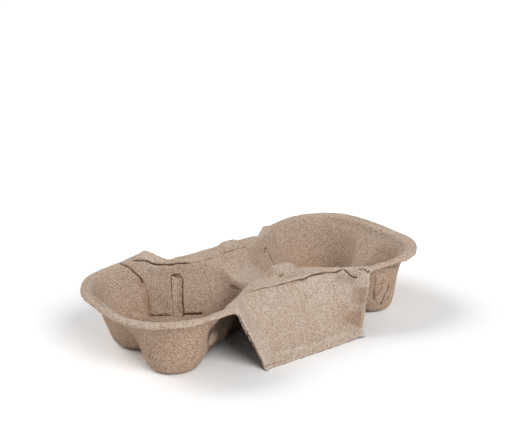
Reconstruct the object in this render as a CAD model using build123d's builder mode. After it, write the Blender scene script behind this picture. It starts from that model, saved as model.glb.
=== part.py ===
from build123d import *
import math
import os

# Moulded pulp carrier for two cups, one thin-walled piece that stands on its feet and side flaps.
# Millimetres. X runs along the row of wells, Y towards the back, Z up.
# The origin is on the ground, under the middle of the tray.

# Overall form
tray_length = 195.0
tray_width = 100.0
corner_radius = 31.0
rim_height = 36.0
wall = 2.0
rim_lip = 3.6
rim_round = 2.6
crown_round = 5.0

# Wells, each seen from its own middle, with the divider on the inner side
well_pitch = 104.0
floor_height = 5.5
slot_wall_angle = 54.0
slot_wall_at_floor = 24.3
slot_wall_draft = 25.0
nose_at_floor = 34.7
nose_draft = 17.0
side_at_floor = 29.1
side_draft = 28.0
end_at_floor = 18.1
end_draft = 37.5
nose_round = 5.0
end_round_at_floor = 8.2
end_round_draft = 35.0

# Hollow feet at the outer corners and under the nose of each well
foot_out = 10.3
foot_spread = 17.6
foot_radius = 16.4
foot_draft = 20.0
foot_round = 2.9
nose_foot_out = 33.0
nose_foot_radius = 9.6
nose_foot_draft = 5.0
nose_foot_top = 24.0
nose_foot_round = 3.0

# Recessed channel up each slanted wall, with a slit on each side of its foot that lets the wall give
channel_width = 5.0
channel_depth = 2.0
channel_top = 27.7
slit_reach = 14.0
slit_height = 1.6
slit_wedge = 2.4
slit_lift = 0.4

# Saddle between the wells
saddle_drop = 7.5
saddle_span = 46.0
saddle_length = 40.0

# Flaps that hang from the long sides to the ground
crease_length = 64.0
crease_inset = 15.0
flap_top_length = 87.0
flap_foot_length = 66.0
flap_foot_reach = 8.0
flap_toe_reach = 10.0
flap_toe_height = 3.6
flap_hollow = 1.6
flap_cheek = 6.0
flap_side_lip = 2.5
flap_wall = 2.3

# Knobs on the two ledges
knob_x = 4.0
knob_y = 24.5
knob_length = 21.0
knob_width = 15.0
knob_top_length = 11.0
knob_top_width = 8.0
knob_height = 4.4
knob_corner = 3.0
knob_wall = 1.6

# Sizes that follow from those above
half_width = tray_width / 2
well_x = well_pitch / 2
flank = half_width - crease_inset

# How the slanted walls face, seen from the middle of the left well
lean = math.radians(slot_wall_angle)
square_on = Vector(math.cos(lean), math.sin(lean), 0)
along = Vector(-math.sin(lean), math.cos(lean), 0)

# Flat bands that make up the rolled crown round each well, and the bevel that stands for a foot's rounding
curl = 2
bevel_share = 0.67


def slope(angle):
    """Run of a wall for each millimetre of height, at this draft angle in degrees."""
    return math.tan(math.radians(angle))


def well_outline(height, grow):
    """Corners of one well's outline at a height, grown outward, in the well's own frame."""
    rise = height - floor_height
    slot_wall = slot_wall_at_floor + rise * slope(slot_wall_draft) + grow
    nose = nose_at_floor + rise * slope(nose_draft) + grow
    side = side_at_floor + rise * slope(side_draft) + grow
    end = end_at_floor + rise * slope(end_draft) + grow
    nose_y = (slot_wall - nose * math.cos(lean)) / math.sin(lean)
    side_x = (slot_wall - side * math.sin(lean)) / math.cos(lean)
    half = [(nose, nose_y), (side_x, side), (-end, side)]
    return half + [(x, -y) for x, y in reversed(half)]


def crown_steps(radius):
    """Outward and upward steps of a rolled crown, from the wall up to the level top."""
    turns = [math.radians(90 * step / curl) for step in range(1, curl + 1)]
    return [(crown_round - radius * math.cos(turn), radius * math.sin(turn)) for turn in turns]


def well_body(floor, grow, crown_radius, top):
    """Sections of one well: a level floor, slanted walls and the rolled crown, up to a top."""
    shoulder = rim_height - crown_round
    sections = [(floor, grow), (shoulder, grow)]
    sections += [(shoulder + up, out) for out, up in crown_steps(crown_radius)]
    sections.append((top, crown_round))
    with BuildPart() as body:
        for height, reach in sections:
            with BuildSketch(Plane.XY.offset(height)) as section:
                with Locations((-well_x, 0)):
                    Polygon(*well_outline(min(height, shoulder), reach), align=None)
                fillet(section.vertices().group_by(Axis.X)[-1], nose_round + reach)
                rise = min(height, shoulder) - floor_height
                end_round = end_round_at_floor + rise * slope(end_round_draft)
                fillet(section.vertices().group_by(Axis.X)[0], end_round + reach)
        loft(ruled=True)
    return body.part


def corner_feet(floor, grow, crown_radius, top):
    """The two hollow corner feet, cones that widen into the rolled crown of the rim."""
    shoulder = rim_height - crown_round
    inner = foot_radius - wall + shoulder * slope(foot_draft)
    low = foot_radius - wall + floor * slope(foot_draft) + grow
    bands = [(inner + out, shoulder + up) for out, up in crown_steps(crown_radius)]
    at = (-well_x - foot_out, foot_spread, 0)
    with BuildPart() as foot:
        with BuildSketch(Plane(origin=at, x_dir=(1, 0, 0), z_dir=(0, -1, 0))) as profile:
            with BuildLine():
                Polyline(
                    (0, top),
                    (0, floor),
                    (low, floor),
                    (inner + grow, shoulder),
                    *bands,
                    (inner + crown_round, top),
                    close=True,
                )
            make_face()
            corner = profile.vertices().group_by(Axis.Y)[0].sort_by(Axis.X)[-1]
            chamfer(corner, (foot_round - wall + grow) * bevel_share)
        revolve(axis=Axis(at, (0, 0, 1)))
        mirror(about=Plane.XZ)
    return foot.part


def nose_foot(floor, grow):
    """The hollow foot under the nose of one well."""
    low = nose_foot_radius - wall + floor * slope(nose_foot_draft) + grow
    high = nose_foot_radius - wall + nose_foot_top * slope(nose_foot_draft) + grow
    at = (-well_x + nose_foot_out, 0, 0)
    with BuildPart() as foot:
        with BuildSketch(Plane(origin=at, x_dir=(1, 0, 0), z_dir=(0, -1, 0))) as profile:
            with BuildLine():
                Polyline((0, floor), (low, floor), (high, nose_foot_top), (0, nose_foot_top), close=True)
            make_face()
            corner = profile.vertices().group_by(Axis.Y)[0].sort_by(Axis.X)[-1]
            chamfer(corner, (nose_foot_round - wall + grow) * bevel_share)
        revolve(axis=Axis(at, (0, 0, 1)))
    return foot.part


def channels(floor, grow):
    """The recesses up the middles of one well's two slanted walls, grown outward."""
    near = slot_wall_at_floor - 2 * wall
    top = channel_top + grow
    low = slot_wall_at_floor + (floor - floor_height) * slope(slot_wall_draft) + channel_depth + grow
    high = low + (top - floor) * slope(slot_wall_draft)
    with BuildPart() as recess:
        with BuildSketch(Plane(origin=(-well_x, 0, 0), x_dir=square_on, z_dir=-along)):
            Polygon((near, floor), (low, floor), (high, top), (near, top), align=None)
        extrude(amount=channel_width / 2 + grow, both=True)
        mirror(about=Plane.XZ)
    return recess.part


def knob_pair(z_base, z_top, shrink):
    """The two raised knobs on the ledges, tapered on all four sides."""
    sections = [(z_base, knob_length, knob_width), (z_top, knob_top_length, knob_top_width)]
    with BuildPart() as knobs:
        for height, length, width in sections:
            with BuildSketch(Plane.XY.offset(height)):
                with Locations((knob_x, -knob_y)):
                    RectangleRounded(length - 2 * shrink, width - 2 * shrink, knob_corner - shrink)
        loft(ruled=True)
        mirror(about=Plane.XZ)
    return knobs.part


def flap_cut(crease_half, crease_y, side_half, side_y):
    """Corners of the front flap cut level: straight middle, slanted cheeks and small side lips."""
    half = [(crease_half, crease_y), (side_half, side_y), (side_half + flap_side_lip, side_y)]
    line = [(-x, y) for x, y in reversed(half)] + half
    return line + [(x, y + flap_wall) for x, y in reversed(line)]


flap_foot_half = flap_foot_length / 2
flap_foot_y = -half_width - flap_foot_reach
flap_toe_y = -half_width - flap_toe_reach
flap_middle = flap_foot_half - flap_cheek
flap_cuts = {
    rim_height: flap_cut(crease_length / 2, -flank, flap_top_length / 2, -half_width),
    flap_toe_height: flap_cut(flap_middle, flap_foot_y + flap_hollow, flap_foot_half, flap_foot_y),
    0: flap_cut(flap_middle, flap_toe_y + flap_hollow / 2, flap_foot_half, flap_toe_y),
}

# The space inside one well, and the pulp around it
with BuildPart() as well_space:
    add(well_body(floor_height, 0, crown_round, rim_height + 1))
    add(corner_feet(wall, 0, crown_round, rim_height + 1))
    add(nose_foot(wall, 0))
    add(channels(floor_height, 0))

with BuildPart() as well_shell:
    add(well_body(floor_height - wall, wall, crown_round - wall, rim_height - wall / 2))
    add(corner_feet(0, wall, crown_round - wall, rim_height - wall / 2))
    add(nose_foot(0, wall))
    add(channels(floor_height - wall, wall))

# The two slits at the foot of one slanted wall, seen square on; the outer one opens into a wedge
cut_start = Vector(-well_x, 0, 0) + square_on * (slot_wall_at_floor - wall)
slit_start = channel_width / 2 + wall
slit_low = floor_height + slit_lift
slit_high = slit_low + slit_height
with BuildPart() as wall_cuts:
    with BuildSketch(Plane(origin=cut_start, x_dir=along, z_dir=square_on)):
        outer_slit = [(slit_start, slit_low), (slit_reach, slit_low), (slit_reach, slit_high + slit_wedge)]
        Polygon(*outer_slit, (slit_start, slit_high), align=None)
        inner_slit = [(-slit_start, slit_low), (-slit_start, slit_high), (-slit_reach, slit_high)]
        Polygon(*inner_slit, (-slit_reach, slit_low), align=None)
    extrude(amount=4 * wall)
    mirror(about=Plane.XZ)

# One flap: it leaves the crease, falls outward, and turns out again along its toe
with BuildPart() as front_flap:
    for height, corners in flap_cuts.items():
        with BuildSketch(Plane.XY.offset(height)):
            Polygon(*corners, align=None)
    loft(ruled=True)

with BuildPart() as tray:
    # Flange with a notch over each flap, rounded down into a lip all round
    with BuildSketch(Plane.XY.offset(rim_height - rim_lip)) as flange:
        RectangleRounded(tray_length, tray_width, corner_radius)
        notch = [(flap_top_length / 2, -half_width - wall), (flap_top_length / 2, -half_width),
                 (crease_length / 2, -flank)]
        Polygon(*notch, *[(-x, y) for x, y in reversed(notch)], align=None, mode=Mode.SUBTRACT)
        Polygon(*[(x, -y) for x, y in notch], *[(-x, -y) for x, y in reversed(notch)], align=None,
                mode=Mode.SUBTRACT)
    extrude(amount=rim_lip)
    fillet(tray.faces().sort_by(Axis.Z)[-1].outer_wire().edges(), rim_round)
    with BuildSketch(Plane.XY.offset(rim_height - rim_lip)):
        add(flange.sketch)
        offset(amount=-wall, mode=Mode.REPLACE)
    extrude(amount=rim_lip - wall, mode=Mode.SUBTRACT)

    # Pulp around the wells, then the dip of the saddle between them
    add(well_shell.part)
    mirror(well_shell.part, about=Plane.YZ)
    saddle_half = saddle_span / 2
    saddle_low = rim_height - saddle_drop
    saddle_under = rim_height - wall
    with BuildSketch(Plane.YZ):
        with BuildLine():
            ThreePointArc((-saddle_half, rim_height), (0, saddle_low), (saddle_half, rim_height))
            Polyline(
                (saddle_half, rim_height),
                (saddle_half, rim_height + wall),
                (-saddle_half, rim_height + wall),
                (-saddle_half, rim_height),
            )
        make_face()
    extrude(amount=saddle_length / 2, both=True, mode=Mode.SUBTRACT)
    with BuildSketch(Plane.YZ):
        with BuildLine():
            ThreePointArc((-saddle_half, rim_height), (0, saddle_low), (saddle_half, rim_height))
            Line((saddle_half, rim_height), (saddle_half, saddle_under))
            ThreePointArc((saddle_half, saddle_under), (0, saddle_low - wall), (-saddle_half, saddle_under))
            Line((-saddle_half, saddle_under), (-saddle_half, rim_height))
        make_face()
    extrude(amount=saddle_length / 2, both=True)

    # Knobs and flaps on both long sides
    add(knob_pair(rim_height - wall, rim_height + knob_height, 0))
    add(knob_pair(rim_height - 2 * wall, rim_height + knob_height - wall, knob_wall), mode=Mode.SUBTRACT)
    add(front_flap.part)
    mirror(front_flap.part, about=Plane.XZ)

    # Open the wells and cut their walls
    add(well_space.part, mode=Mode.SUBTRACT)
    mirror(well_space.part, about=Plane.YZ, mode=Mode.SUBTRACT)
    add(wall_cuts.part, mode=Mode.SUBTRACT)
    mirror(wall_cuts.part, about=Plane.YZ, mode=Mode.SUBTRACT)

tray.part.label = "pulp_tray"
os.makedirs("parts", exist_ok=True)
export_step(tray.part, "parts/pulp_tray.step")
print("volume", round(tray.part.volume), "solids", len(tray.part.solids()), "valid", tray.part.is_valid)
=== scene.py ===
"""Moulded pulp carrier for two cups, with the soft, cracked and speckled skin of real paper pulp."""

import logging
import math
from dataclasses import dataclass
from enum import Enum
from typing import Any, Dict, List, Optional, Sequence, Tuple, Union

import bmesh
import bpy
import numpy as np
from mathutils import Matrix, Vector
from mathutils.bvhtree import BVHTree
from mathutils.kdtree import KDTree


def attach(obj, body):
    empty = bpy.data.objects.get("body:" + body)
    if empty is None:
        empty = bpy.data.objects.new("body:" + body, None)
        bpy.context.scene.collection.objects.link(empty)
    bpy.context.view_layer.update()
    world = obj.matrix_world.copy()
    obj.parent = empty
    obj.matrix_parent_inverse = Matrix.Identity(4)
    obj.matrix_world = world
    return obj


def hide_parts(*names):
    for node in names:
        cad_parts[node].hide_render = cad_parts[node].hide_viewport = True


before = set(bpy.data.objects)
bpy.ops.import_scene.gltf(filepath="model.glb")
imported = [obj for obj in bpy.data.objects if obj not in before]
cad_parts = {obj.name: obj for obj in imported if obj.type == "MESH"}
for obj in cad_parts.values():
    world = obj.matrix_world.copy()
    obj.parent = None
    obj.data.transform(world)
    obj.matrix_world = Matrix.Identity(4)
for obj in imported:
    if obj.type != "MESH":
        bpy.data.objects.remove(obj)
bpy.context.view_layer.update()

LOG = logging.getLogger("carrier")
MM = 0.001
NODE = "pulp_tray"
Colour = Tuple[float, float, float]
Pixel = Tuple[float, float]
Point = Tuple[float, float, float]
Spot = Union[Pixel, Point]


class Wire:
    """A socket that takes part in Python arithmetic, each operator adding one Math node."""

    def __init__(self, graph: "Graph", socket: bpy.types.NodeSocket) -> None:
        """Keeps the graph that the socket belongs to.

        Args:
            graph: The graph that new nodes go into.
            socket: The output socket.
        """
        self.graph = graph
        self.socket = socket

    def _maths(self, operation: str, first: Any, second: Any) -> "Wire":
        """Adds one Math node.

        Args:
            operation: Blender's name of the operation.
            first: Left value or wire.
            second: Right value or wire.

        Returns:
            The node's result.
        """
        return self.graph.wire("ShaderNodeMath", {"operation": operation}, {0: first, 1: second})

    def __add__(self, other: Any) -> "Wire":
        """Sum."""
        return self._maths("ADD", self, other)

    def __radd__(self, other: Any) -> "Wire":
        """Sum with a number on the left."""
        return self._maths("ADD", other, self)

    def __sub__(self, other: Any) -> "Wire":
        """Difference."""
        return self._maths("SUBTRACT", self, other)

    def __rsub__(self, other: Any) -> "Wire":
        """Difference from a number on the left."""
        return self._maths("SUBTRACT", other, self)

    def __mul__(self, other: Any) -> "Wire":
        """Product."""
        return self._maths("MULTIPLY", self, other)

    def __rmul__(self, other: Any) -> "Wire":
        """Product with a number on the left."""
        return self._maths("MULTIPLY", other, self)

    def ramp(self, low: float, high: float) -> "Wire":
        """Rises smoothly from 0 at low to 1 at high.

        Args:
            low: Value that gives 0.
            high: Value that gives 1.

        Returns:
            The eased share.
        """
        settings = {"interpolation_type": "SMOOTHSTEP"}
        limits = {"Value": self, "From Min": low, "From Max": high}
        return self.graph.wire("ShaderNodeMapRange", settings, limits)


class Graph:
    """The node tree of one material."""

    def __init__(self, name: str) -> None:
        """Makes an empty material.

        Args:
            name: The material's name.
        """
        self.material = bpy.data.materials.new(name)
        self.material.use_nodes = True
        self.tree = self.material.node_tree
        self.tree.nodes.clear()

    def node(self, kind: str, settings: Dict[str, Any], inputs: Dict[Union[str, int], Any]) -> bpy.types.Node:
        """Adds a node, with its settings first and then its sockets.

        Args:
            kind: Blender's type name of the node.
            settings: Properties of the node.
            inputs: Values or wires by socket name or number.

        Returns:
            The new node.
        """
        node = self.tree.nodes.new(kind)
        for key, value in settings.items():
            setattr(node, key, value)
        for key, value in inputs.items():
            if isinstance(value, Wire):
                self.tree.links.new(value.socket, node.inputs[key])
            else:
                node.inputs[key].default_value = value
        return node

    def wire(
        self,
        kind: str,
        settings: Dict[str, Any],
        inputs: Dict[Union[str, int], Any],
        output: Union[str, int] = 0,
    ) -> Wire:
        """Adds a node and hands back one output of it.

        Args:
            kind: Blender's type name of the node.
            settings: Properties of the node.
            inputs: Values or wires by socket name or number.
            output: Name or number of the output.

        Returns:
            The chosen output.
        """
        return Wire(self, self.node(kind, settings, inputs).outputs[output])

    def mix(self, factor: Wire, first: Any, second: Any) -> Wire:
        """Mixes two colours.

        Args:
            factor: Share of the second colour.
            first: Colour or wire at 0.
            second: Colour or wire at 1.

        Returns:
            The mixed colour.
        """
        mixer = self.node("ShaderNodeMix", {"data_type": "RGBA"}, {})
        for name, value in (("Factor_Float", factor), ("A_Color", first), ("B_Color", second)):
            socket = next(s for s in mixer.inputs if s.identifier == name)
            if isinstance(value, Wire):
                self.tree.links.new(value.socket, socket)
            else:
                socket.default_value = (*value, 1.0)
        return Wire(self, next(s for s in mixer.outputs if s.identifier == "Result_Color"))


@dataclass(frozen=True)
class PulpFinish:
    """Grey-tan recycled pulp: mottled and speckled with fibre, with painted shade that makes it browner in
    hollows, on walls and feet and under the ledges, and dark along cracks.
    """

    name: str = "moulded_pulp"
    pale: Colour = (0.45, 0.375, 0.32)
    tan: Colour = (0.41, 0.325, 0.262)
    # Colour of the painted shade on the walls and feet.
    shade_buff: Colour = (0.3, 0.18, 0.108)
    brown: Colour = (0.24, 0.135, 0.075)
    # Colour of the painted shade in cracks, folds, slits and along torn edges.
    crack: Colour = (0.095, 0.047, 0.025)
    # Colour of the painted shadow beneath the ledges and behind the flaps.
    painted_shadow: Colour = (0.07, 0.045, 0.032)
    fleck: Colour = (0.62, 0.53, 0.45)
    mottle_scale: float = 55.0
    grain_scale: float = 1150.0
    fibre_scale: float = 700.0
    grain_height: float = 0.0006

    def material(self) -> bpy.types.Material:
        """Builds the pulp's material.

        Returns:
            The material.
        """
        graph = Graph(self.name)
        place = graph.wire("ShaderNodeTexCoord", {}, {}, "Object")
        turned = {"Vector": place, "Rotation": (0.5, 0.7, 0.4), "Scale": (1, 0.3, 1)}
        stretch = graph.wire("ShaderNodeMapping", {}, turned)
        mottle = self._noise(graph, place, self.mottle_scale, 4.0)
        blotch = self._noise(graph, place, self.mottle_scale * 3.3, 3.0)
        grain = self._noise(graph, place, self.grain_scale, 1.0)
        fine = self._noise(graph, place, self.grain_scale * 1.7, 1.0)
        fibre = self._noise(graph, stretch, self.fibre_scale, 2.0)
        painted_shade, shade_smear, hollow_shade, wall_shade, shade_beneath = (
            graph.wire("ShaderNodeAttribute", {"attribute_name": name}, {}, "Fac")
            for name in ("painted_shade", "shade_smear", "hollow_shade", "wall_shade", "shade_beneath")
        )

        colour = graph.mix(mottle.ramp(0.35, 0.68), self.pale, self.tan)
        # Painted shade and light: walls, feet and the back half browner, flaps and level tops paler, as the
        # light falls.
        colour = graph.mix(wall_shade * 0.9, colour, self.shade_buff)
        # Painted shade: browner in hollows, where the skin round a point rises in front of it.
        colour = graph.mix((hollow_shade + (blotch - 0.5) * 0.5).ramp(0.0, 0.8) * 0.4, colour, self.brown)
        colour = graph.mix((grain + (blotch - 0.5) * 0.3).ramp(0.47, 0.62) * 0.6, colour, self.brown)
        colour = graph.mix(fine.ramp(0.47, 0.6) * 0.6, colour, self.fleck)
        colour = graph.mix(fibre.ramp(0.6, 0.74) * 0.45, colour, self.brown)
        # Painted shade: soft brown bands in valleys, creases, on facets turned from the light and inside the
        # right well.
        colour = graph.mix((shade_smear + (blotch - 0.5) * 0.3).ramp(0.05, 0.95) * 0.8, colour, self.brown)
        # Painted shadow: dark colour beneath the ledges and behind the flaps, where shade falls.
        colour = graph.mix(shade_beneath * 0.85, colour, self.painted_shadow)
        # Painted shade: near-black in the cracks, folds, slits and along torn edges.
        colour = graph.mix((painted_shade * (0.8 + grain * 0.4)).ramp(0.08, 0.7), colour, self.crack)

        height = grain * 0.5 + fine * 0.3 + fibre * 0.3 + blotch * 0.6
        bumps = {"Strength": 0.6, "Distance": self.grain_height, "Height": height}
        bump = graph.wire("ShaderNodeBump", {}, bumps, "Normal")
        shader = graph.wire(
            "ShaderNodeBsdfPrincipled",
            {},
            {
                "Base Color": colour,
                "Roughness": 0.86 + grain * 0.12,
                "Normal": bump,
                "Specular IOR Level": 0.2,
            },
        )
        graph.node("ShaderNodeOutputMaterial", {}, {"Surface": shader})
        return graph.material

    @staticmethod
    def _noise(graph: Graph, place: Wire, scale: float, detail: float) -> Wire:
        """Adds one noise.

        Args:
            graph: The graph it goes into.
            place: Coordinates.
            scale: Noise scale, per metre.
            detail: Octaves of detail.

        Returns:
            The noise's value.
        """
        return graph.wire("ShaderNodeTexNoise", {}, {"Vector": place, "Scale": scale, "Detail": detail})


@dataclass(frozen=True)
class PhotoCamera:
    """The photograph's camera, from its fit, in metres, degrees and the photograph's pixels."""

    eye: Point = (-0.49629, -0.69903, 0.35932)
    turn: float = 35.7
    tilt: float = 18.977
    roll: float = -2.068
    focal_pixels: float = 1628.153
    middle: Pixel = (257.5, 214.0)

    def axes(self) -> Tuple[Vector, Vector, Vector]:
        """The camera's right, up and back.

        Returns:
            The three directions.
        """
        turn, tilt, roll = (math.radians(angle) for angle in (self.turn, self.tilt, self.roll))
        behind = math.cos(tilt)
        back = Vector((-math.sin(turn) * behind, -math.cos(turn) * behind, math.sin(tilt)))
        level = Vector((math.cos(turn), -math.sin(turn), 0))
        raised = back.cross(level)
        right = math.cos(roll) * level + math.sin(roll) * raised
        up = math.cos(roll) * raised - math.sin(roll) * level
        return right, up, back

    def ray(self, pixel: Pixel) -> Vector:
        """The way that leads from the eye through a pixel.

        Args:
            pixel: Place in the photograph, across and down.

        Returns:
            The direction.
        """
        right, up, back = self.axes()
        across = (pixel[0] - self.middle[0]) / self.focal_pixels
        down = (pixel[1] - self.middle[1]) / self.focal_pixels
        return (across * right - down * up - back).normalized()


class Sight:
    """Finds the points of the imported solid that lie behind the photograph's pixels."""

    def __init__(self, solid: bpy.types.Mesh, camera: PhotoCamera) -> None:
        """Readies the solid for the camera's rays.

        Args:
            solid: Mesh of the solid.
            camera: The photograph's camera.
        """
        corners = [vertex.co / MM for vertex in solid.vertices]
        self.surface = BVHTree.FromPolygons(corners, [tuple(polygon.vertices) for polygon in solid.polygons])
        self.camera = camera

    def point(self, spot: Spot) -> Point:
        """The point that a spot stands for.

        Args:
            spot: A point in millimetres, which is kept, or a pixel.

        Returns:
            The point, to a tenth of a millimetre where it comes from a pixel.
        """
        if len(spot) == 3:
            return spot
        place = self.surface.ray_cast(Vector(self.camera.eye) / MM, self.camera.ray(spot))[0]
        return tuple(round(value, 1) for value in place)


class Mark(Enum):
    """How deep a line goes into the skin and how high its edges stand, as shares of its depth."""

    CRACK = (1.0, 0.35)
    WRINKLE = (1.0, 0.9)
    RIDGE = (-1.0, 0.0)
    # A band of painted shade, with no depth.
    SHADE_SMEAR = (0.0, 0.0)


@dataclass(frozen=True)
class Line:
    """A crack, wrinkle, ridge or brown band of painted shade that runs through a few spots of the skin."""

    spots: Tuple[Spot, ...]
    mark: Mark
    width: float
    depth: float
    # How strongly shade is painted along the line.
    painted_shade: float
    lift: Point = (-0.45, -0.6, 0.65)
    wander: float = 0.35
    step: float = 0.35

    def samples(self, seed: int, sight: Sight) -> Tuple[np.ndarray, np.ndarray]:
        """Divides the line into short steps that wander a little, and lets its strength come and go.

        Args:
            seed: Seed of the wandering.
            sight: What turns pixels into points.

        Returns:
            Points along the line, lifted off the skin, and the line's strength at each.
        """
        chance = np.random.default_rng(seed)
        corners = np.array([sight.point(spot) for spot in self.spots], dtype=float)
        runs = [corners[:1]]
        for start, end in zip(corners[:-1], corners[1:]):
            count = max(2, int(np.linalg.norm(end - start) / self.step))
            share = np.linspace(0, 1, count + 1)[1:, None]
            runs.append(start + (end - start) * share)
        line = np.concatenate(runs)
        drift = np.cumsum(chance.normal(0, 1, line.shape), axis=0)
        drift -= np.linspace(0, 1, len(line))[:, None] * drift[-1]
        line += self.wander * drift / max(1.0, np.abs(drift).max())
        along = np.linspace(0, 1, len(line))
        knots = chance.uniform(0.55, 1.0, max(3, len(line) // 9))
        strength = np.interp(along, np.linspace(0, 1, len(knots)), knots)
        strength *= np.clip(10 * np.minimum(along, 1 - along) + 0.3, 0, 1)
        return line + np.array(self.lift), strength


def crack(spots: Sequence[Spot], width: float, depth: float, painted_shade: float) -> Line:
    """A torn line through these spots, with low raised edges and painted shade along the tear."""
    return Line(tuple(spots), Mark.CRACK, width, depth, painted_shade)


def wrinkle(spots: Sequence[Spot], width: float, depth: float, painted_shade: float) -> Line:
    """A pressed fold through these spots, with high raised edges and painted shade along the fold."""
    return Line(tuple(spots), Mark.WRINKLE, width, depth, painted_shade)


def ridge(spots: Sequence[Spot], width: float, height: float) -> Line:
    """A raised line through these spots."""
    return Line(tuple(spots), Mark.RIDGE, width, height, 0.0)


def shade_smear(spots: Sequence[Spot], width: float, painted_shade: float) -> Line:
    """A soft brown band of painted shade along these spots."""
    return Line(tuple(spots), Mark.SHADE_SMEAR, width, 0.0, painted_shade, step=1.0)


@dataclass(frozen=True)
class Channel:
    """The recess up the middle of each slanted wall, whose edges are torn, in millimetres and degrees."""

    well_x: float = 52.0
    facing: float = 54.0
    out_at_floor: float = 24.3
    floor: float = 5.5
    top: float = 27.7
    draft: float = 25.0
    inner_edge: float = -1.7
    outer_edge: float = 2.7
    slit_reach: float = 14.0
    slit_top: float = 7.8
    off_wall: float = 0.8

    def point(self, offset: float, height: float, side: Tuple[int, int]) -> Point:
        """A point of the wall's inner face.

        Args:
            offset: Distance along the wall from its middle, outward.
            height: Height above the ground.
            side: Signs of X and Y of the wall's quarter of the tray.

        Returns:
            The point.
        """
        turn = math.radians(self.facing)
        out = self.out_at_floor + (height - self.floor) * math.tan(math.radians(self.draft))
        x = -self.well_x + out * math.cos(turn) - offset * math.sin(turn)
        y = out * math.sin(turn) + offset * math.cos(turn)
        return (-side[0] * x, side[1] * y, height)

    def lines(self) -> Tuple[Line, ...]:
        """The torn edges of all four channels, with painted shade along the edges and in the slits, and the
        pressed lips above their slits.
        """
        found = []
        low, middle, high = self.floor + 2.0, (self.floor + self.top) / 2, self.top
        inner, outer = self.inner_edge, self.outer_edge
        reach, top = self.slit_reach, self.slit_top
        turn = math.radians(self.facing)
        off_x, off_y = math.cos(turn) * self.off_wall, math.sin(turn) * self.off_wall
        for side in ((-1, 1), (-1, -1), (1, 1), (1, -1)):
            inward = (side[0] * off_x, -side[1] * off_y, 0.3)
            edges = (
                ((inner, low), (inner, middle), (inner, high - 1), 0.5, 1.1, 1.0),
                ((outer, low + 2), (outer, middle), (outer, high), 0.42, 0.8, 0.75),
                ((inner, high), (0.0, high), (outer + 0.8, high), 0.42, 0.7, 0.8),
                ((inner, low + 0.4), (-8.0, top), (-reach, top), 0.42, 0.8, 1.0),
                ((inner, low), (0.5, low + 0.6), (outer, low + 1.6), 0.4, 0.5, 0.6),
                ((outer + 0.8, low + 0.3), (8.5, low + 0.3), (reach, low + 0.3), 0.6, 0.5, 1.0),
                ((8.0, low + 0.4), (11.5, low + 0.5), (reach + 2.0, low + 0.7), 1.3, 0.3, 1.0),
            )
            # The dark along these edges and slits is painted shade.
            for first, second, third, width, depth, painted_shade in edges:
                points = tuple(self.point(*place, side) for place in (first, second, third))
                found.append(Line(points, Mark.CRACK, width, depth, painted_shade, inward))
            for sign, rise in ((1, 3.6), (-1, 1.6)):
                steps = ((0.3, rise * 0.5), (0.65, rise * 0.8), (1.0, rise))
                lip = [self.point(sign * share * reach, top + up, side) for share, up in steps]
                found.append(Line(tuple(lip), Mark.RIDGE, 0.9, 0.55, 0.0, inward))
        return tuple(found)


# Spots that lines of the skin run through. Two numbers are a pixel of the photograph, picked one by one.
# Three are a point in millimetres, set by hand or read off a scratch mesh of the solid behind such a pixel.
FRONT_CREASE = ((244, 293.5), (255, 289.5), (270, 287), (290, 282), (305, 278))
FRONT_TEAR = ((300, 281), (308, 277.5), (315, 275), (325, 272.3), (332, 272.3), (337, 272), (343, 269.5))
FRONT_ZIGZAG = ((343, 269.5), (347, 272.5), (352, 277), (38.3, -47.4, 30.5))
FLAP_CORNER_TEAR = ((39.5, -46, 34.5), (41.5, -48, 35.2), (42.5, -50.1, 34.1), (368.5, 273), (371, 271.5))
BACK_TEAR = ((-52.5, 46.4, 35.5), (134, 264), (143, 263.8), (150, 265.8), (160, 266.3), (170, 265.5))
BACK_TEAR_END = ((178, 263.2), (190, 263.2))
BACK_CREASE = ((200, 260), (210, 257.5), (216, 256.8))
BACK_CREASE_END = ((224, 253), (0, 18.8, 37.3), (10.6, 20.8, 36), (17.6, 22.2, 34.8))
CORNER_TEAR = ((121, 265.5), (125, 268.5), (129, 271.5), (133, 275.5), (-49.9, 40.3, 26.7), (143, 285))
CORNER_VALLEY = ((146, 292), (-48.4, 33.4, 15.9), (149, 308), (147, 316))
RIGHT_RIM_TEAR = ((374, 271), (57.7, -44.1, 29.1), (386, 269))
RIGHT_RIM_TEAR_END = ((386, 269), (392, 268), (74.3, -40.5, 26.2))
KNOB_PIP = ((278.5, 274.8), (280.5, 276.2), (283, 275.6), (284.5, 273.5))
LEFT_LIP_DENT = ((-87.9, -41.3, 33.5), (-84.8, -44, 33), (-82.2, -45.7, 32.4))
FLAP_LEFT_EDGE = (
    (-44, -50.4, 33),
    (-41.6, -52.6, 23.8),
    (-39.2, -55, 14.2),
    (-36.6, -57, 4.5),
    (-35.9, -58.4, 1.5),
)
RIGHT_FOOT_GROOVE = ((66.7, -38.7, 14.5), (381, 297), (61.7, -35.5, 4.4))
RIGHT_FOOT_GROOVE_OUTER = ((71, -38.1, 16.2), (69, -36.7, 10.8), (67, -35.5, 6))
RIGHT_FOOT_GROOVE_INNER = ((55.7, -42.1, 25.1), (56.4, -38.9, 16), (57.3, -36.5, 8.9))
LEFT_FOOT_NICK = ((-62.2, -37.3, 9.5), (196, 359.5))
LEFT_FOOT_ARC = ((197, 342), (-62.4, -38.9, 13.8), (-62.2, -37.2, 9.2))
LEFT_FOOT_RING = ((149, 345), (-82.5, -23.2, 12.6), (-81.3, -18.8, 7.3))
TOE_RIDGE = ((-26.8, -54.8, 6), (290, 350), (310, 344.5))
TOE_RIDGE_END = ((345, 332.5), (29.3, -57.6, 2.6))
FLAP_LIP = ((368.5, 290), (366.5, 300), (37.1, -55.4, 14.2), (364, 322), (363.5, 332))
FLAP_SHADE = ((362, 300), (34.1, -54.6, 11.7), (30.2, -55.7, 6.6))
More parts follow.
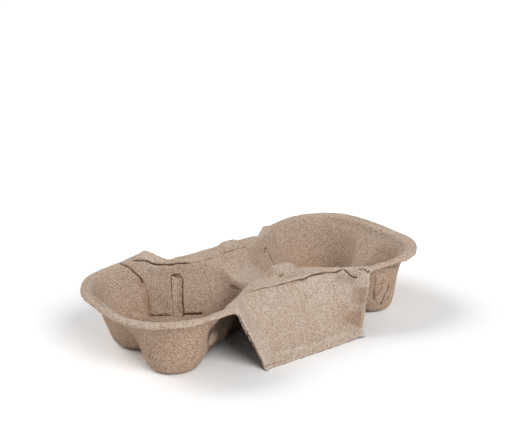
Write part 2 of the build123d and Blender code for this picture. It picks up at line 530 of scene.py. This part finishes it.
FLAP_SHADE_TOP = ((350, 277), (33.5, -42.7, 28.6), (335, 277))
BACK_TEAR_SHADE = ((137, 263.5), (142, 264), (147, 264.5))
KNOB_SHADE = ((268, 273), (269.5, 276))
SADDLE_SHADE = ((-10.1, 14, 31.1), (-11.8, 12.8, 27), (219, 284))

CRACKS = (
    crack(FRONT_CREASE, 0.38, 0.7, 0.8),
    crack(FRONT_TEAR, 0.5, 1.0, 1.0),
    crack(FRONT_ZIGZAG, 0.45, 0.9, 0.8),
    crack(FLAP_CORNER_TEAR, 0.5, 1.0, 1.0),
    crack(BACK_TEAR + BACK_TEAR_END, 0.5, 1.0, 1.0),
    crack(BACK_TEAR_END + BACK_CREASE, 0.42, 0.7, 0.7),
    crack(BACK_CREASE[-1:] + BACK_CREASE_END, 0.38, 0.6, 0.6),
    crack(((-58.6, 48.6, 35), *CORNER_TEAR), 0.5, 1.1, 1.0),
    crack(CORNER_TEAR[-1:] + CORNER_VALLEY, 0.7, 0.6, 0.3),
    crack(RIGHT_RIM_TEAR, 0.4, 0.5, 0.5),
    crack(RIGHT_RIM_TEAR_END, 0.4, 0.6, 0.8),
    crack(KNOB_PIP, 0.35, 0.4, 0.8),
    crack(LEFT_LIP_DENT, 0.5, 0.5, 0.45),
    crack(FLAP_LEFT_EDGE, 0.6, 0.3, 0.75),
    crack(((-35.5, -58.7, 2.2), (-27.7, -58, 2), (-21, -58, 1.8)), 0.35, 0.4, 0.7),
)

WRINKLES = (
    wrinkle(((67.6, -39.6, 17), *RIGHT_FOOT_GROOVE), 0.6, 1.0, 0.95),
    wrinkle(RIGHT_FOOT_GROOVE_OUTER, 0.6, 1.0, 0.85),
    wrinkle(((62, -42, 22), (61, -39.6, 16), (59, -37.6, 11)), 0.6, 0.8, 0.6),
    wrinkle(RIGHT_FOOT_GROOVE_INNER, 0.7, 0.7, 0.6),
    wrinkle(((74, -38.5, 20), (72.5, -36.5, 14), (71, -34.5, 8)), 0.6, 0.6, 0.5),
    wrinkle(LEFT_FOOT_NICK, 0.6, 0.7, 0.5),
    wrinkle(LEFT_FOOT_ARC, 0.6, 0.45, 0.3),
    wrinkle(LEFT_FOOT_RING, 0.8, 0.45, 0.3),
    wrinkle(((-81.3, -22, 8.8), (-79.5, -26, 8.2), (-76, -30.5, 8)), 0.6, 0.35, 0.25),
    wrinkle(((-74, -37, 19), (-70, -38.5, 15), (-68, -37.6, 10)), 0.6, 0.35, 0.25),
)

RIDGES = (
    ridge((*TOE_RIDGE, (9, -55.7, 4.7), TOE_RIDGE_END[0]), 1.2, 1.2),
    ridge((*TOE_RIDGE_END, (33, -58.8, 2.4)), 1.0, 0.9),
    ridge(((44.2, -50.6, 33), *FLAP_LIP), 1.0, 0.9),
    ridge(((-1.6, -29.6, 38), (-0.4, -29.6, 38)), 1.3, 0.7),
    ridge(((-6.3, -29.9, 36), (-5.9, -30.2, 36)), 0.9, 0.5),
)

# Bands of painted shade: the flap's right hollow, the corner valley, the back tear, the knob's facet, the
# saddle, the front crease and inside the right well.
SMEARS = (
    shade_smear(((39.5, -50, 26), *FLAP_SHADE), 6.5, 0.85),
    shade_smear(((38, -48, 30), *FLAP_SHADE_TOP), 3.4, 0.7),
    shade_smear(((-50.5, 40.5, 27), *CORNER_VALLEY), 3.2, 0.7),
    shade_smear(BACK_TEAR_SHADE, 1.1, 0.9),
    shade_smear(((-46, 38.5, 31), (-42, 36, 29.5)), 2.4, 0.45),
    shade_smear((*KNOB_SHADE, (-6.2, -25.6, 35.8)), 1.7, 0.9),
    shade_smear(SADDLE_SHADE, 4.5, 0.6),
    shade_smear(((0, -36.6, 33.4), (6, -36.9, 33.2), (12.6, -36.9, 33)), 1.0, 0.6),
    shade_smear(((88, -5, 26), (87.5, -16, 27), (85, -26, 27)), 7.0, 0.65),
)

LINES = CRACKS + WRINKLES + RIDGES + SMEARS + Channel().lines()


@dataclass(frozen=True)
class Nudge:
    """A place where the tray has been bent by hand or has dried crooked, in millimetres."""

    place: Point
    reach: float
    shift: Point
    squeeze: float = 0.0

    def apply(self, points: np.ndarray) -> np.ndarray:
        """Moves the skin round the place, fading out with distance.

        Args:
            points: Points of the skin.

        Returns:
            Moved points.
        """
        away = points - np.array(self.place)
        share = np.exp(-(away**2).sum(1) / (2 * self.reach**2))[:, None]
        level = np.array((0.0, 0.0, 1.0))
        return points + share * (np.array(self.shift) - self.squeeze * away * level)


NUDGES = (
    Nudge((-45, 52, 35), 9.0, (4.5, 0.0, 2.8)),
    Nudge((45, 52, 35), 9.0, (2.0, 0.0, -2.0)),
    Nudge((-33, 47, 34), 7.0, (0.0, 0.0, 1.4)),
    Nudge((-88, 32, 36), 11.0, (1.8, -1.3, -0.4)),
    Nudge((-97, -10, 36), 12.0, (-1.2, -0.2, -1.2)),
    Nudge((-72, -28, 0), 14.0, (-3.6, -2.4, 0.0)),
    Nudge((-53, -22, 3), 10.0, (-4.5, 0.0, 0.0)),
    Nudge((-45, -38, 21), 8.0, (-5.0, 3.4, 0.0)),
    Nudge((-62, 20, 0), 15.0, (2.0, 3.0, 0.0)),
    Nudge((68, -30, 0), 13.0, (0.6, -4.5, 0.0)),
    Nudge((36, -60, 0), 9.0, (-2.0, 0.0, 1.0)),
    Nudge((31, -52, 14), 8.0, (0.0, 1.6, -1.1)),
)


PINCH_PLACES = ((1.5, 30.0), (6.5, 26.5), (11.0, 23.5))
PINCH_HEIGHT = 7.6
PINCH_REACH = 5.0
PINCH_SQUEEZE = 0.92
STILL = (0.0, 0.0, 0.0)

SLIT_PINCHES = tuple(
    Nudge((side_x * (Channel.well_x - inward), side_y * out, PINCH_HEIGHT), PINCH_REACH, STILL, PINCH_SQUEEZE)
    for side_x in (-1, 1)
    for side_y in (-1, 1)
    for inward, out in PINCH_PLACES
)

Laid = Tuple[Line, np.ndarray, np.ndarray]


@dataclass(frozen=True)
class Surroundings:
    """What lies round each point of a thin skin: the middle of it and the way the skin faces."""

    middle: np.ndarray
    facing: Optional[np.ndarray]

    @classmethod
    def measure(cls, points: np.ndarray, reach: float, facing: bool) -> "Surroundings":
        """Blurs the points' moments on a grid and reads them back at each point.

        Args:
            points: Points of the skin, in millimetres.
            reach: Width of the blur.
            facing: Whether the skin's direction is wanted too.

        Returns:
            The surroundings of every point.
        """
        cell = max(1.0, reach / 2.5)
        low = points.min(0) - 4 * reach
        size = tuple(np.ceil((points.max(0) + 4 * reach - low) / cell).astype(int) + 1)
        spot = (points - low) / cell
        base = np.floor(spot).astype(int)
        part = spot - base
        columns = [np.ones(len(points)), *points.T]
        pairs = [(0, 0), (0, 1), (0, 2), (1, 1), (1, 2), (2, 2)]
        if facing:
            columns += [points[:, i] * points[:, j] for i, j in pairs]
        corners = []
        for step in np.ndindex(2, 2, 2):
            weight = np.prod(np.where(np.array(step), part, 1 - part), axis=1)
            corners.append((np.ravel_multi_index((base + step).T, size), weight))
        taps = np.arange(-int(3 * reach / cell), int(3 * reach / cell) + 1)
        kernel = np.exp(-0.5 * (taps * cell / reach) ** 2)
        read = []
        for column in columns:
            shares = (np.bincount(where, weight * column, math.prod(size)) for where, weight in corners)
            field = sum(shares).reshape(size)
            for axis in range(3):
                field = sum(k * np.roll(field, t, axis) for t, k in zip(taps, kernel))
            flat = field.ravel()
            read.append(sum(weight * flat[where] for where, weight in corners))
        mass = read[0]
        middle = np.stack(read[1:4], 1) / mass[:, None]
        if not facing:
            return cls(middle, None)
        spread = np.zeros((len(points), 3, 3))
        for (i, j), value in zip(pairs, read[4:]):
            spread[:, i, j] = spread[:, j, i] = value / mass - middle[:, i] * middle[:, j]
        return cls(middle, np.linalg.eigh(spread)[1][:, :, 0])


def lumps(points: np.ndarray, size: float, seed: int) -> np.ndarray:
    """Smooth seeded noise.

    Args:
        points: Where it is read, in millimetres.
        size: Size of one lump, in millimetres.
        seed: Seed.

    Returns:
        Values from -1 to 1.
    """
    reach = np.array([300.0, 220.0, 120.0])
    dims = np.ceil(reach / size).astype(int) + 3
    lattice = np.random.default_rng(seed).uniform(-1, 1, dims)
    spot = (points + reach / 2) / size
    base = np.floor(spot).astype(int)
    part = spot - base
    part = part * part * (3 - 2 * part)
    total = np.zeros(len(points))
    for step in np.ndindex(2, 2, 2):
        weight = np.prod(np.where(np.array(step), part, 1 - part), axis=1)
        total += weight * lattice[tuple((base + step).T)]
    return total


def climb(values: np.ndarray, width: float) -> np.ndarray:
    """Climbs from 0 at 0 to 1 at a width, and stays level on either side."""
    return np.clip(values / width, 0, 1)


@dataclass(frozen=True)
class Zones:
    """Borders of the zones where shade is painted browner or darker into the skin, in millimetres and as
    parts of a normal.
    """

    rim_top: float = 36.0
    flap_slope: float = 0.68
    flap_face: float = 33.0
    flap_back: float = 31.5
    flap_half: float = 47.0
    fade: float = 2.0
    level_paleness: float = 0.7
    pale_from: float = -4.0
    pale_fade: float = 40.0
    flange_from: float = 31.6
    flange_fade: float = 1.6
    back_loss: float = 0.35
    back_fade: float = 25.0
    facing_down: float = 0.05
    down_fade: float = 0.15
    facing_under: float = -0.2
    under_fade: float = 0.2
    facing_flap: float = 0.2
    flap_fade: float = 0.3
    flank_half: float = 57.0
    ledge_half: float = 50.0
    side_fade: float = 3.0
    saddle_half: float = 13.0
    saddle_from: float = 18.0
    dark_below: float = 33.5
    dark_fade: float = 1.5

    def wall_shade(self, points: np.ndarray, normals: np.ndarray) -> np.ndarray:
        """How much browner the skin is painted where light reaches it less: painted shade on walls, feet and
        the back half, painted light on flaps and level tops.

        Args:
            points: Points of the skin.
            normals: Normals at the points.

        Returns:
            0 on the flaps, a little on level places and 1 on the walls and feet.
        """
        across, out, height = np.abs(points[:, 0]), np.abs(points[:, 1]), points[:, 2]
        drop = np.clip(self.rim_top - height, 0, None)
        on_flap = climb(out - self.flap_face - self.flap_slope * drop, self.fade)
        flap = on_flap * climb(self.flap_half - across, self.fade)
        inside = climb(height - self.pale_from, self.pale_fade)
        outside = climb(height - self.flange_from, self.flange_fade)
        # The back half is painted less pale, as it is less lit.
        behind = 1 - self.back_loss * climb(points[:, 1], self.back_fade)
        level = self.level_paleness * behind * np.where(normals[:, 2] > 0, inside, outside)
        return 1 - np.maximum(flap, level)

    def shade_beneath(self, points: np.ndarray, normals: np.ndarray) -> np.ndarray:
        """How strongly shadow is painted on the skin beneath the ledges and behind the flaps, facing the
        ground.

        Args:
            points: Points of the skin.
            normals: Normals at the points.

        Returns:
            0 in the open and 1 well beneath.
        """
        across, out, height = np.abs(points[:, 0]), np.abs(points[:, 1]), points[:, 2]
        faces_down = climb(self.facing_down - normals[:, 2], self.down_fade)
        behind_flap = climb(self.flap_back + self.flap_slope * (self.rim_top - height) - out, self.fade)
        under_flange = climb(self.facing_under - normals[:, 2], self.under_fade)
        turned = climb(normals[:, 0] - self.facing_flap, self.flap_fade)
        # Painted shadow also on the flanks of the left feet that turn towards the flap.
        near_flap = climb(self.flank_half - across, self.side_fade) * np.where(points[:, 0] < 0, turned, 0.0)
        inward = climb(self.ledge_half - across, self.side_fade) * np.maximum(behind_flap, under_flange)
        saddle = climb(self.saddle_half - out, self.side_fade) * climb(height - self.saddle_from, self.fade)
        deep = faces_down * (1 - saddle) * np.maximum(inward, near_flap)
        return deep * climb(self.dark_below - height, self.dark_fade)


@dataclass
class PulpTray:
    """The whole carrier: one skin of pulp, softened, bent, cracked and roughened."""

    finish: PulpFinish
    voxel: float = 1.2
    crease_reach: float = 1.2
    soft_reach: float = 2.0
    softness: float = 0.6
    fine_reaches: Tuple[float, ...] = (1.3, 0.55)
    lump_sizes: Tuple[float, ...] = (28.0, 11.0, 4.0, 1.8)
    lump_heights: Tuple[float, ...] = (0.45, 0.22, 0.13, 0.09)
    firm_foot: float = 6.0
    hollow_reach: float = 6.0
    zones: Zones = Zones()
    knob_x: float = 4.0
    knob_y: float = 24.5
    knob_reach: float = 14.0
    knob_crispness: float = 0.85
    seed: int = 41

    def build(self) -> bpy.types.Object:
        """Makes the skin, dresses it and lets it stand for the solid.

        Returns:
            The finished piece.
        """
        piece = self._remeshed()
        points = self._softened(self._points(piece.data))
        points = self._nudged(points)
        self._store(piece.data, points)
        # The hollow measure drives the painted shade in hollows.
        self._attribute(piece.data, "hollow_shade", self._hollow(points, self._normals(piece.data)))
        sight = Sight(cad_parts[NODE].data, PhotoCamera())
        self._refine(piece.data, self._laid(piece.data, sight))
        points = self._lumpy(self._points(piece.data), self._normals(piece.data))
        self._store(piece.data, points)
        points, painted_shade, brown = self._marked(points, self._normals(piece.data), self._laid(piece.data, sight))
        points[:, 2] = np.maximum(points[:, 2], 0.0)
        self._store(piece.data, points)
        # Painted shade along the cracks and folds.
        self._attribute(piece.data, "painted_shade", painted_shade)
        # Brown bands of painted shade.
        self._attribute(piece.data, "shade_smear", brown)
        normals = self._normals(piece.data)
        # Painted shade on walls, feet and the back half; painted light on flaps and level tops.
        self._attribute(piece.data, "wall_shade", self.zones.wall_shade(points, normals))
        # Painted shadow beneath the ledges and behind the flaps.
        self._attribute(piece.data, "shade_beneath", self.zones.shade_beneath(points, normals))
        piece.data.materials.clear()
        piece.data.materials.append(self.finish.material())
        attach(piece, "root")
        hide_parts(NODE)
        return piece

    def _remeshed(self) -> bpy.types.Object:
        """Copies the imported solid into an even, dense mesh.

        Returns:
            The new object.
        """
        piece = bpy.data.objects.new("pulp_skin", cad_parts[NODE].data.copy())
        bpy.context.scene.collection.objects.link(piece)
        voxels = piece.modifiers.new("voxels", "REMESH")
        voxels.mode = "VOXEL"
        voxels.voxel_size = self.voxel * MM
        bpy.context.view_layer.update()
        evaluated = piece.evaluated_get(bpy.context.evaluated_depsgraph_get())
        fine = bpy.data.meshes.new_from_object(evaluated)
        piece.modifiers.clear()
        piece.data = fine
        fine.shade_smooth()
        return piece

    @staticmethod
    def _points(mesh: bpy.types.Mesh) -> np.ndarray:
        """The mesh's points, in millimetres."""
        flat = np.zeros(len(mesh.vertices) * 3)
        mesh.vertices.foreach_get("co", flat)
        return flat.reshape(-1, 3) / MM

    @staticmethod
    def _normals(mesh: bpy.types.Mesh) -> np.ndarray:
        """The mesh's normals at its points."""
        flat = np.zeros(len(mesh.vertices) * 3)
        mesh.vertex_normals.foreach_get("vector", flat)
        return flat.reshape(-1, 3)

    @staticmethod
    def _store(mesh: bpy.types.Mesh, points: np.ndarray) -> None:
        """Writes points in millimetres back to the mesh."""
        mesh.vertices.foreach_set("co", (points * MM).ravel())
        mesh.update()

    @staticmethod
    def _attribute(mesh: bpy.types.Mesh, name: str, values: np.ndarray) -> None:
        """Stores one number for each point of the mesh."""
        layer = mesh.attributes.new(name, "FLOAT", "POINT")
        layer.data.foreach_set("value", values.astype(np.float32))

    def _softened(self, points: np.ndarray) -> np.ndarray:
        """Rounds the folds of the thin skin without thinning it or eating its edges.

        Args:
            points: Points of the skin.

        Returns:
            Moved points.
        """
        near = Surroundings.measure(points, self.crease_reach, False)
        wide = Surroundings.measure(points, self.soft_reach, True)
        from_knob = np.hypot(points[:, 0] - self.knob_x, np.abs(points[:, 1]) - self.knob_y)
        crisp = 1 - self.knob_crispness * np.exp(-((from_knob / self.knob_reach) ** 2))
        move = self.softness * crisp[:, None] * (wide.middle - near.middle)
        across = (move * wide.facing).sum(1, keepdims=True)
        return points + across * wide.facing

    @staticmethod
    def _nudged(points: np.ndarray) -> np.ndarray:
        """Bends the places that are bent in the real tray, and presses its slits almost shut."""
        for nudge in SLIT_PINCHES + NUDGES:
            points = nudge.apply(points)
        return points

    def _lumpy(self, points: np.ndarray, normals: np.ndarray) -> np.ndarray:
        """Bends the skin a little and roughens it.

        Args:
            points: Points of the skin.
            normals: Normals at the points.

        Returns:
            Moved points.
        """
        standing = climb(points[:, 2], self.firm_foot)
        for index, (size, height) in enumerate(zip(self.lump_sizes, self.lump_heights)):
            if index < 2:
                bend = np.stack([lumps(points, size, self.seed + 10 * index + axis) for axis in range(3)], 1)
                points = points + height * standing[:, None] * bend
            else:
                points = points + (height * lumps(points, size, self.seed + 10 * index))[:, None] * normals
        return points

    def _laid(self, mesh: bpy.types.Mesh, sight: Sight) -> List[Laid]:
        """Lays every line down on the skin.

        Args:
            mesh: The skin.
            sight: What turns pixels into points.

        Returns:
            Each line with its points on the skin and its strength at each of them.
        """
        polygons = [tuple(polygon.vertices) for polygon in mesh.polygons]
        tree = BVHTree.FromPolygons(self._points(mesh).tolist(), polygons)
        laid = []
        for index, line in enumerate(LINES):
            samples, strength = line.samples(self.seed + index, sight)
            samples = self._nudged(samples)
            places = np.array([tree.find_nearest(sample)[0] for sample in samples.tolist()])
            for _ in range(3):
                places[1:-1] = (places[:-2] + 2 * places[1:-1] + places[2:]) / 4
            laid.append((line, places, strength))
        return laid

    def _refine(self, mesh: bpy.types.Mesh, laid: Sequence[Laid]) -> None:
        """Divides the skin finely along its narrow lines.

        Args:
            mesh: The skin.
            laid: The lines on it.
        """
        places = np.concatenate([places for line, places, _ in laid if line.mark is not Mark.SHADE_SMEAR])
        tree = KDTree(len(places))
        for index, place in enumerate((places * MM).tolist()):
            tree.insert(place, index)
        tree.balance()
        model = bmesh.new()
        model.from_mesh(mesh)
        for reach in self.fine_reaches:
            middles = [(edge, (edge.verts[0].co + edge.verts[1].co) / 2) for edge in model.edges]
            edges = [edge for edge, middle in middles if tree.find(middle)[2] < reach * MM]
            bmesh.ops.subdivide_edges(model, edges=edges, cuts=1, use_grid_fill=True)
        model.to_mesh(mesh)
        model.free()
        mesh.shade_smooth()

    @staticmethod
    def _marked(
        points: np.ndarray, normals: np.ndarray, laid: Sequence[Laid]
    ) -> Tuple[np.ndarray, np.ndarray, np.ndarray]:
        """Cuts the cracks and wrinkles, raises the ridges and lays the bands of painted shade.

        Args:
            points: Points of the skin.
            normals: Normals at the points.
            laid: The lines on the skin.

        Returns:
            Moved points, how dark shade is painted along the cracks and folds, and how brown the bands of
            painted shade make the skin.
        """
        painted_shade, shade_smear, rise = np.zeros((3, len(points)))
        for line, places, strength in laid:
            edge = 4 * line.width
            low, high = places.min(0) - edge, places.max(0) + edge
            close = np.flatnonzero(np.all((points > low) & (points < high), axis=1))
            gaps = np.sqrt(((points[close, None] - places[None]) ** 2).sum(2))
            nearest = gaps.argmin(1)
            gap = gaps[np.arange(len(close)), nearest]
            force = strength[nearest]
            groove = np.exp(-((gap / line.width) ** 2)) * force
            if line.mark is Mark.SHADE_SMEAR:
                shade_smear[close] = np.maximum(shade_smear[close], line.painted_shade * groove)
                continue
            inward, lip = line.mark.value
            shoulder = np.exp(-(((gap - 2.1 * line.width) / line.width) ** 2)) * force
            rise[close] += line.depth * (0.5 * lip * shoulder - inward * groove)
            painted_shade[close] = np.maximum(painted_shade[close], line.painted_shade * groove)
        return points + rise[:, None] * normals, painted_shade, shade_smear

    def _hollow(self, points: np.ndarray, normals: np.ndarray) -> np.ndarray:
        """How far the skin round each point rises in front of it; the material paints shade from it.

        Args:
            points: Points of the skin.
            normals: Normals at the points.

        Returns:
            About -1 on a corner, 0 on a flat wall and 1 deep in a hollow.
        """
        around = Surroundings.measure(points, self.hollow_reach, False)
        return ((around.middle - points) * normals).sum(1) / (0.35 * self.hollow_reach)


@dataclass(frozen=True)
class Lamp:
    """One soft, far lamp, whose light falls evenly on the whole floor."""

    name: str
    place: Point
    spread: float
    strength: float

    def build(self) -> bpy.types.Object:
        """Places the lamp, turned to the tray.

        Returns:
            The lamp.
        """
        data = bpy.data.lights.new(self.name, "SUN")
        data.angle = math.radians(self.spread)
        data.energy = self.strength * math.pi
        lamp = bpy.data.objects.new(self.name, data)
        lamp.location = self.place
        lamp.rotation_euler = (-Vector(self.place)).to_track_quat("-Z", "Y").to_euler()
        bpy.context.scene.collection.objects.link(lamp)
        return lamp


@dataclass(frozen=True)
class Studio:
    """Pale floor, soft lamps and the camera at the photograph's angle."""

    lamps: Tuple[Lamp, ...] = (
        Lamp("front", (0.0, -2.05, 1.44), 40.0, 0.78),
        Lamp("back", (-0.9, 1.75, 1.54), 40.0, 0.62),
    )
    floor_half: float = 6.0
    floor_colour: Colour = (0.95, 0.95, 0.95)
    sky: float = 0.34
    view: PhotoCamera = PhotoCamera()
    frame_pixels: float = 515.0
    sensor: float = 36.0

    def build(self) -> None:
        """Makes the whole setting."""
        self._floor()
        for lamp in self.lamps:
            lamp.build()
        self._sky()
        self._camera()
        bpy.context.scene.view_settings.view_transform = "Standard"

    def _floor(self) -> None:
        """A wide plain floor at the tray's feet."""
        mesh = bpy.data.meshes.new("floor")
        half = self.floor_half
        corners = [(-half, -half, 0), (half, -half, 0), (half, half, 0), (-half, half, 0)]
        mesh.from_pydata(corners, [], [(0, 1, 2, 3)])
        graph = Graph("pale_floor")
        plain = {"Base Color": (*self.floor_colour, 1.0), "Roughness": 0.9, "Specular IOR Level": 0.1}
        shader = graph.wire("ShaderNodeBsdfPrincipled", {}, plain)
        graph.node("ShaderNodeOutputMaterial", {}, {"Surface": shader})
        mesh.materials.append(graph.material)
        floor = bpy.data.objects.new("floor", mesh)
        bpy.context.scene.collection.objects.link(floor)

    def _sky(self) -> None:
        """An even white surround."""
        world = bpy.data.worlds.new("surround")
        world.use_nodes = True
        background = world.node_tree.nodes["Background"]
        background.inputs["Color"].default_value = (1.0, 1.0, 1.0, 1.0)
        background.inputs["Strength"].default_value = self.sky
        bpy.context.scene.world = world

    def _camera(self) -> None:
        """The camera, where the photograph's camera stood."""
        data = bpy.data.cameras.new("camera")
        data.sensor_fit = "HORIZONTAL"
        data.sensor_width = self.sensor
        data.lens = self.view.focal_pixels * self.sensor / self.frame_pixels
        camera = bpy.data.objects.new("camera", data)
        turned = Matrix(self.view.axes()).transposed().to_4x4()
        camera.matrix_world = Matrix.Translation(self.view.eye) @ turned
        bpy.context.scene.collection.objects.link(camera)
        bpy.context.scene.camera = camera


def report(pieces: Sequence[bpy.types.Object]) -> None:
    """Logs each piece's size.

    Args:
        pieces: The built pieces.
    """
    for piece in pieces:
        piece.data.calc_loop_triangles()
        LOG.info("%s: %d triangles", piece.name, len(piece.data.loop_triangles))


def main() -> None:
    """Builds the studio and the tray."""
    logging.basicConfig(level=logging.INFO, format="%(name)s: %(message)s")
    Studio().build()
    report([PulpTray(PulpFinish()).build()])


if __name__ == "__main__":
    main()
